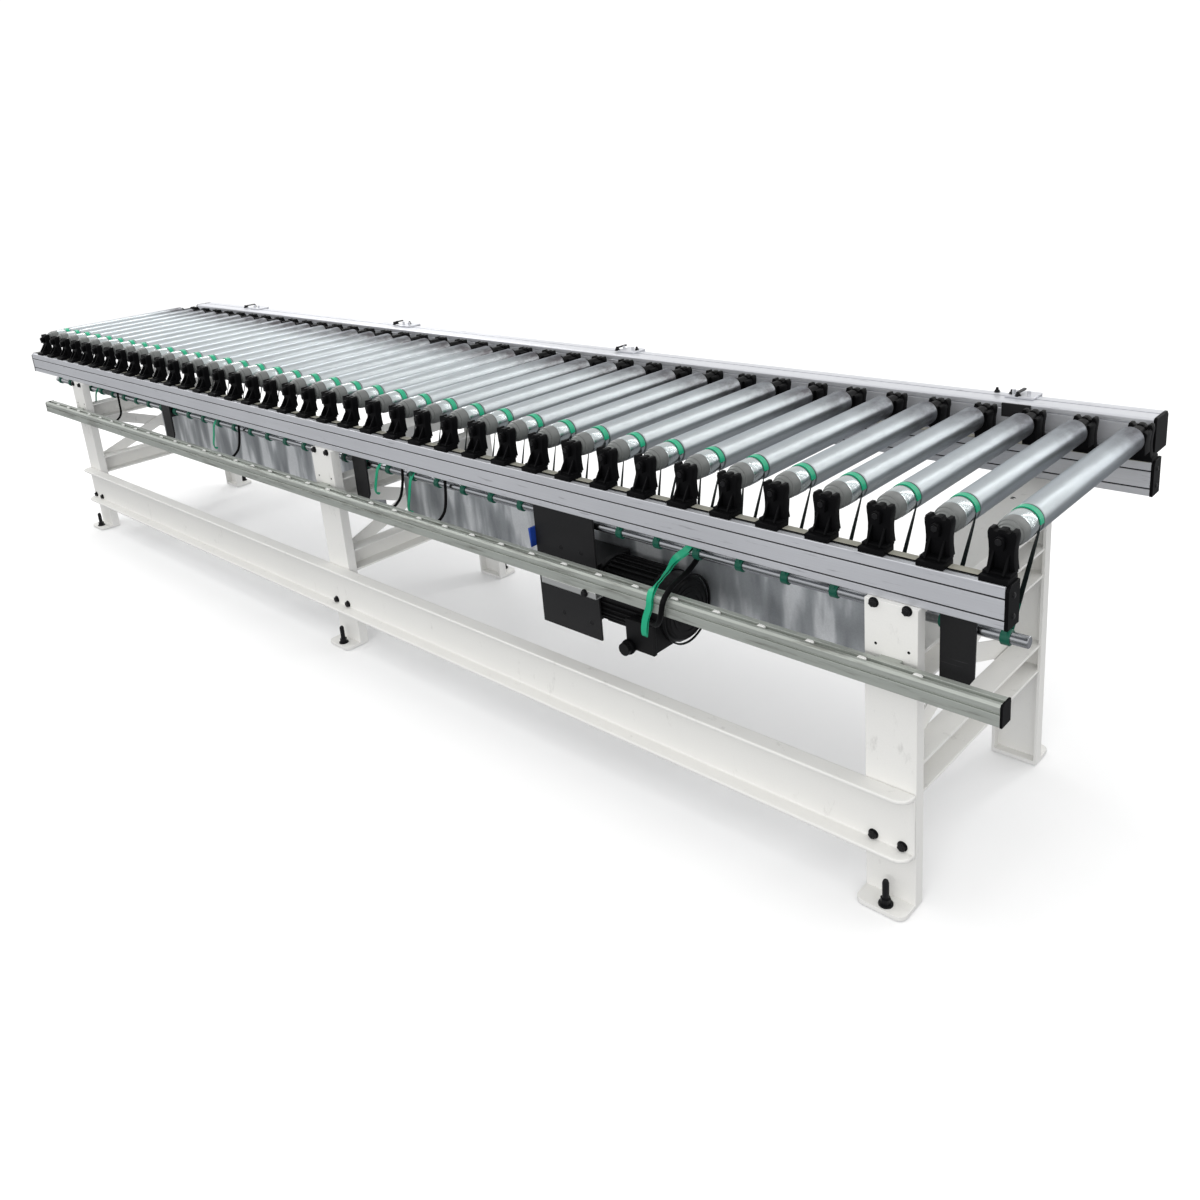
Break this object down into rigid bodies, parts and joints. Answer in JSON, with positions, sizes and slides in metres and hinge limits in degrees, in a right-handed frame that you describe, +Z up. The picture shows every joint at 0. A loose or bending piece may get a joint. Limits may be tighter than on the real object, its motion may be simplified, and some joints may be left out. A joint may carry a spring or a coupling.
{
  "type": "line-shaft roller conveyor",
  "caption": "Straight driven roller conveyor section: steel rollers between two rails with a raised side guide, on three leg frames, turned by belts from a shaft and gearmotor.",
  "frame": {"origin": "middle of the footprint on the floor", "axes": "+X along the conveyor, +Y across the rollers towards the side guide, +Z up"},
  "size_m": [3.9344, 0.8542, 0.7173],
  "materials": {
    "zinc_steel_tube": "zinc plated, soft long highlights",
    "black_plastic": "moulded, matt",
    "anodised_rail": "satin anodised extrusion",
    "dark_steel": "dark grey satin paint",
    "white_paint": "off-white fine textured powder coat",
    "bright_steel": "bright drawn shaft",
    "motor_black": "near-black satin paint",
    "cable_rubber": "smooth black sheath",
    "galvanised_sheet": "mottled galvanised sheet",
    "drive_belt": "smooth green flat drive belt"
  },
  "bodies": {
    "frame": {"near_roller_brackets": "black_plastic", "far_roller_brackets": "black_plastic", "near_side_rail": "anodised_rail", "far_side_rail": "anodised_rail", "guide_rail": "anodised_rail", "guide_support": "dark_steel", "cable_rail": "anodised_rail", "leg_frame_left": "white_paint", "leg_frame_middle": "white_paint", "leg_frame_right": "white_paint", "base_beam": "white_paint", "shaft_bearing_left": "dark_steel", "shaft_bearing_middle": "dark_steel", "shaft_bearing_right": "dark_steel", "motor_plate": "dark_steel", "gearmotor": "motor_black", "terminal_box": "motor_black", "motor_cable": "cable_rubber", "rear_panel_left": "galvanised_sheet", "rear_panel_right": "galvanised_sheet"},
    "shaft": {"line_shaft": "bright_steel"},
    "roller_01": {"roller_01": "zinc_steel_tube"},
    "roller_02": {"roller_02": "zinc_steel_tube"},
    "roller_03": {"roller_03": "zinc_steel_tube"},
    "roller_04": {"roller_04": "zinc_steel_tube"},
    "roller_05": {"roller_05": "zinc_steel_tube"},
    "roller_06": {"roller_06": "zinc_steel_tube"},
    "roller_07": {"roller_07": "zinc_steel_tube"},
    "roller_08": {"roller_08": "zinc_steel_tube"},
    "roller_09": {"roller_09": "zinc_steel_tube"},
    "roller_10": {"roller_10": "zinc_steel_tube"},
    "roller_11": {"roller_11": "zinc_steel_tube"},
    "roller_12": {"roller_12": "zinc_steel_tube"},
    "roller_13": {"roller_13": "zinc_steel_tube"},
    "roller_14": {"roller_14": "zinc_steel_tube"},
    "roller_15": {"roller_15": "zinc_steel_tube"},
    "roller_16": {"roller_16": "zinc_steel_tube"},
    "roller_17": {"roller_17": "zinc_steel_tube"},
    "roller_18": {"roller_18": "zinc_steel_tube"},
    "roller_19": {"roller_19": "zinc_steel_tube"},
    "roller_20": {"roller_20": "zinc_steel_tube"},
    "roller_21": {"roller_21": "zinc_steel_tube"},
    "roller_22": {"roller_22": "zinc_steel_tube"},
    "roller_23": {"roller_23": "zinc_steel_tube"},
    "roller_24": {"roller_24": "zinc_steel_tube"},
    "roller_25": {"roller_25": "zinc_steel_tube"},
    "roller_26": {"roller_26": "zinc_steel_tube"},
    "roller_27": {"roller_27": "zinc_steel_tube"},
    "roller_28": {"roller_28": "zinc_steel_tube"},
    "roller_29": {"roller_29": "zinc_steel_tube"},
    "roller_30": {"roller_30": "zinc_steel_tube"},
    "roller_31": {"roller_31": "zinc_steel_tube"},
    "roller_32": {"roller_32": "zinc_steel_tube"},
    "roller_33": {"roller_33": "zinc_steel_tube"},
    "roller_34": {"roller_34": "zinc_steel_tube"},
    "roller_35": {"roller_35": "zinc_steel_tube"},
    "roller_36": {"roller_36": "zinc_steel_tube"},
    "roller_37": {"roller_37": "zinc_steel_tube"},
    "roller_38": {"roller_38": "zinc_steel_tube"},
    "roller_39": {"roller_39": "zinc_steel_tube"}
  },
  "joints": [
    {"name": "shaft_spin", "type": "hinge", "parent": "frame", "child": "shaft", "pos_m": [-0.00975, -0.2932, 0.518], "axis": [1, 0, 0], "continuous": true},
    {"name": "roller_spin_01", "type": "hinge", "parent": "frame", "child": "roller_01", "pos_m": [-1.87775, -0.0052, 0.69], "axis": [0, 1, 0], "continuous": true},
    {"name": "roller_spin_02", "type": "hinge", "parent": "frame", "child": "roller_02", "pos_m": [-1.77775, -0.0052, 0.69], "axis": [0, 1, 0], "continuous": true},
    {"name": "roller_spin_03", "type": "hinge", "parent": "frame", "child": "roller_03", "pos_m": [-1.67775, -0.0052, 0.69], "axis": [0, 1, 0], "continuous": true},
    {"name": "roller_spin_04", "type": "hinge", "parent": "frame", "child": "roller_04", "pos_m": [-1.57775, -0.0052, 0.69], "axis": [0, 1, 0], "continuous": true},
    {"name": "roller_spin_05", "type": "hinge", "parent": "frame", "child": "roller_05", "pos_m": [-1.47775, -0.0052, 0.69], "axis": [0, 1, 0], "continuous": true},
    {"name": "roller_spin_06", "type": "hinge", "parent": "frame", "child": "roller_06", "pos_m": [-1.37775, -0.0052, 0.69], "axis": [0, 1, 0], "continuous": true},
    {"name": "roller_spin_07", "type": "hinge", "parent": "frame", "child": "roller_07", "pos_m": [-1.27775, -0.0052, 0.69], "axis": [0, 1, 0], "continuous": true},
    {"name": "roller_spin_08", "type": "hinge", "parent": "frame", "child": "roller_08", "pos_m": [-1.17775, -0.0052, 0.69], "axis": [0, 1, 0], "continuous": true},
    {"name": "roller_spin_09", "type": "hinge", "parent": "frame", "child": "roller_09", "pos_m": [-1.07775, -0.0052, 0.69], "axis": [0, 1, 0], "continuous": true},
    {"name": "roller_spin_10", "type": "hinge", "parent": "frame", "child": "roller_10", "pos_m": [-0.97775, -0.0052, 0.69], "axis": [0, 1, 0], "continuous": true},
    {"name": "roller_spin_11", "type": "hinge", "parent": "frame", "child": "roller_11", "pos_m": [-0.87775, -0.0052, 0.69], "axis": [0, 1, 0], "continuous": true},
    {"name": "roller_spin_12", "type": "hinge", "parent": "frame", "child": "roller_12", "pos_m": [-0.77775, -0.0052, 0.69], "axis": [0, 1, 0], "continuous": true},
    {"name": "roller_spin_13", "type": "hinge", "parent": "frame", "child": "roller_13", "pos_m": [-0.67775, -0.0052, 0.69], "axis": [0, 1, 0], "continuous": true},
    {"name": "roller_spin_14", "type": "hinge", "parent": "frame", "child": "roller_14", "pos_m": [-0.57775, -0.0052, 0.69], "axis": [0, 1, 0], "continuous": true},
    {"name": "roller_spin_15", "type": "hinge", "parent": "frame", "child": "roller_15", "pos_m": [-0.47775, -0.0052, 0.69], "axis": [0, 1, 0], "continuous": true},
    {"name": "roller_spin_16", "type": "hinge", "parent": "frame", "child": "roller_16", "pos_m": [-0.37775, -0.0052, 0.69], "axis": [0, 1, 0], "continuous": true},
    {"name": "roller_spin_17", "type": "hinge", "parent": "frame", "child": "roller_17", "pos_m": [-0.27775, -0.0052, 0.69], "axis": [0, 1, 0], "continuous": true},
    {"name": "roller_spin_18", "type": "hinge", "parent": "frame", "child": "roller_18", "pos_m": [-0.17775, -0.0052, 0.69], "axis": [0, 1, 0], "continuous": true},
    {"name": "roller_spin_19", "type": "hinge", "parent": "frame", "child": "roller_19", "pos_m": [-0.07775, -0.0052, 0.69], "axis": [0, 1, 0], "continuous": true},
    {"name": "roller_spin_20", "type": "hinge", "parent": "frame", "child": "roller_20", "pos_m": [0.02225, -0.0052, 0.69], "axis": [0, 1, 0], "continuous": true},
    {"name": "roller_spin_21", "type": "hinge", "parent": "frame", "child": "roller_21", "pos_m": [0.12225, -0.0052, 0.69], "axis": [0, 1, 0], "continuous": true},
    {"name": "roller_spin_22", "type": "hinge", "parent": "frame", "child": "roller_22", "pos_m": [0.22225, -0.0052, 0.69], "axis": [0, 1, 0], "continuous": true},
    {"name": "roller_spin_23", "type": "hinge", "parent": "frame", "child": "roller_23", "pos_m": [0.32225, -0.0052, 0.69], "axis": [0, 1, 0], "continuous": true},
    {"name": "roller_spin_24", "type": "hinge", "parent": "frame", "child": "roller_24", "pos_m": [0.42225, -0.0052, 0.69], "axis": [0, 1, 0], "continuous": true},
    {"name": "roller_spin_25", "type": "hinge", "parent": "frame", "child": "roller_25", "pos_m": [0.52225, -0.0052, 0.69], "axis": [0, 1, 0], "continuous": true},
    {"name": "roller_spin_26", "type": "hinge", "parent": "frame", "child": "roller_26", "pos_m": [0.62225, -0.0052, 0.69], "axis": [0, 1, 0], "continuous": true},
    {"name": "roller_spin_27", "type": "hinge", "parent": "frame", "child": "roller_27", "pos_m": [0.72225, -0.0052, 0.69], "axis": [0, 1, 0], "continuous": true},
    {"name": "roller_spin_28", "type": "hinge", "parent": "frame", "child": "roller_28", "pos_m": [0.82225, -0.0052, 0.69], "axis": [0, 1, 0], "continuous": true},
    {"name": "roller_spin_29", "type": "hinge", "parent": "frame", "child": "roller_29", "pos_m": [0.92225, -0.0052, 0.69], "axis": [0, 1, 0], "continuous": true},
    {"name": "roller_spin_30", "type": "hinge", "parent": "frame", "child": "roller_30", "pos_m": [1.02225, -0.0052, 0.69], "axis": [0, 1, 0], "continuous": true},
    {"name": "roller_spin_31", "type": "hinge", "parent": "frame", "child": "roller_31", "pos_m": [1.12225, -0.0052, 0.69], "axis": [0, 1, 0], "continuous": true},
    {"name": "roller_spin_32", "type": "hinge", "parent": "frame", "child": "roller_32", "pos_m": [1.22225, -0.0052, 0.69], "axis": [0, 1, 0], "continuous": true},
    {"name": "roller_spin_33", "type": "hinge", "parent": "frame", "child": "roller_33", "pos_m": [1.32225, -0.0052, 0.69], "axis": [0, 1, 0], "continuous": true},
    {"name": "roller_spin_34", "type": "hinge", "parent": "frame", "child": "roller_34", "pos_m": [1.42225, -0.0052, 0.69], "axis": [0, 1, 0], "continuous": true},
    {"name": "roller_spin_35", "type": "hinge", "parent": "frame", "child": "roller_35", "pos_m": [1.52225, -0.0052, 0.69], "axis": [0, 1, 0], "continuous": true},
    {"name": "roller_spin_36", "type": "hinge", "parent": "frame", "child": "roller_36", "pos_m": [1.62225, -0.0052, 0.69], "axis": [0, 1, 0], "continuous": true},
    {"name": "roller_spin_37", "type": "hinge", "parent": "frame", "child": "roller_37", "pos_m": [1.72225, -0.0052, 0.69], "axis": [0, 1, 0], "continuous": true},
    {"name": "roller_spin_38", "type": "hinge", "parent": "frame", "child": "roller_38", "pos_m": [1.82225, -0.0052, 0.69], "axis": [0, 1, 0], "continuous": true},
    {"name": "roller_spin_39", "type": "hinge", "parent": "frame", "child": "roller_39", "pos_m": [1.92225, -0.0052, 0.69], "axis": [0, 1, 0], "continuous": true}
  ],
  "couplings": [
    {"joint": "roller_spin_01", "follows": "shaft_spin", "ratio": 0.4},
    {"joint": "roller_spin_02", "follows": "shaft_spin", "ratio": 0.4},
    {"joint": "roller_spin_03", "follows": "shaft_spin", "ratio": 0.4},
    {"joint": "roller_spin_04", "follows": "shaft_spin", "ratio": 0.4},
    {"joint": "roller_spin_05", "follows": "shaft_spin", "ratio": 0.4},
    {"joint": "roller_spin_06", "follows": "shaft_spin", "ratio": 0.4},
    {"joint": "roller_spin_07", "follows": "shaft_spin", "ratio": 0.4},
    {"joint": "roller_spin_08", "follows": "shaft_spin", "ratio": 0.4},
    {"joint": "roller_spin_09", "follows": "shaft_spin", "ratio": 0.4},
    {"joint": "roller_spin_10", "follows": "shaft_spin", "ratio": 0.4},
    {"joint": "roller_spin_11", "follows": "shaft_spin", "ratio": 0.4},
    {"joint": "roller_spin_12", "follows": "shaft_spin", "ratio": 0.4},
    {"joint": "roller_spin_13", "follows": "shaft_spin", "ratio": 0.4},
    {"joint": "roller_spin_14", "follows": "shaft_spin", "ratio": 0.4},
    {"joint": "roller_spin_15", "follows": "shaft_spin", "ratio": 0.4},
    {"joint": "roller_spin_16", "follows": "shaft_spin", "ratio": 0.4},
    {"joint": "roller_spin_17", "follows": "shaft_spin", "ratio": 0.4},
    {"joint": "roller_spin_18", "follows": "shaft_spin", "ratio": 0.4},
    {"joint": "roller_spin_19", "follows": "shaft_spin", "ratio": 0.4},
    {"joint": "roller_spin_20", "follows": "shaft_spin", "ratio": 0.4},
    {"joint": "roller_spin_21", "follows": "shaft_spin", "ratio": 0.4},
    {"joint": "roller_spin_22", "follows": "shaft_spin", "ratio": 0.4},
    {"joint": "roller_spin_23", "follows": "shaft_spin", "ratio": 0.4},
    {"joint": "roller_spin_24", "follows": "shaft_spin", "ratio": 0.4},
    {"joint": "roller_spin_25", "follows": "shaft_spin", "ratio": 0.4},
    {"joint": "roller_spin_26", "follows": "shaft_spin", "ratio": 0.4},
    {"joint": "roller_spin_27", "follows": "shaft_spin", "ratio": 0.4},
    {"joint": "roller_spin_28", "follows": "shaft_spin", "ratio": 0.4},
    {"joint": "roller_spin_29", "follows": "shaft_spin", "ratio": 0.4},
    {"joint": "roller_spin_30", "follows": "shaft_spin", "ratio": 0.4},
    {"joint": "roller_spin_31", "follows": "shaft_spin", "ratio": 0.4},
    {"joint": "roller_spin_32", "follows": "shaft_spin", "ratio": 0.4},
    {"joint": "roller_spin_33", "follows": "shaft_spin", "ratio": 0.4},
    {"joint": "roller_spin_34", "follows": "shaft_spin", "ratio": 0.4},
    {"joint": "roller_spin_35", "follows": "shaft_spin", "ratio": 0.4},
    {"joint": "roller_spin_36", "follows": "shaft_spin", "ratio": 0.4},
    {"joint": "roller_spin_37", "follows": "shaft_spin", "ratio": 0.4},
    {"joint": "roller_spin_38", "follows": "shaft_spin", "ratio": 0.4},
    {"joint": "roller_spin_39", "follows": "shaft_spin", "ratio": 0.4}
  ]
}
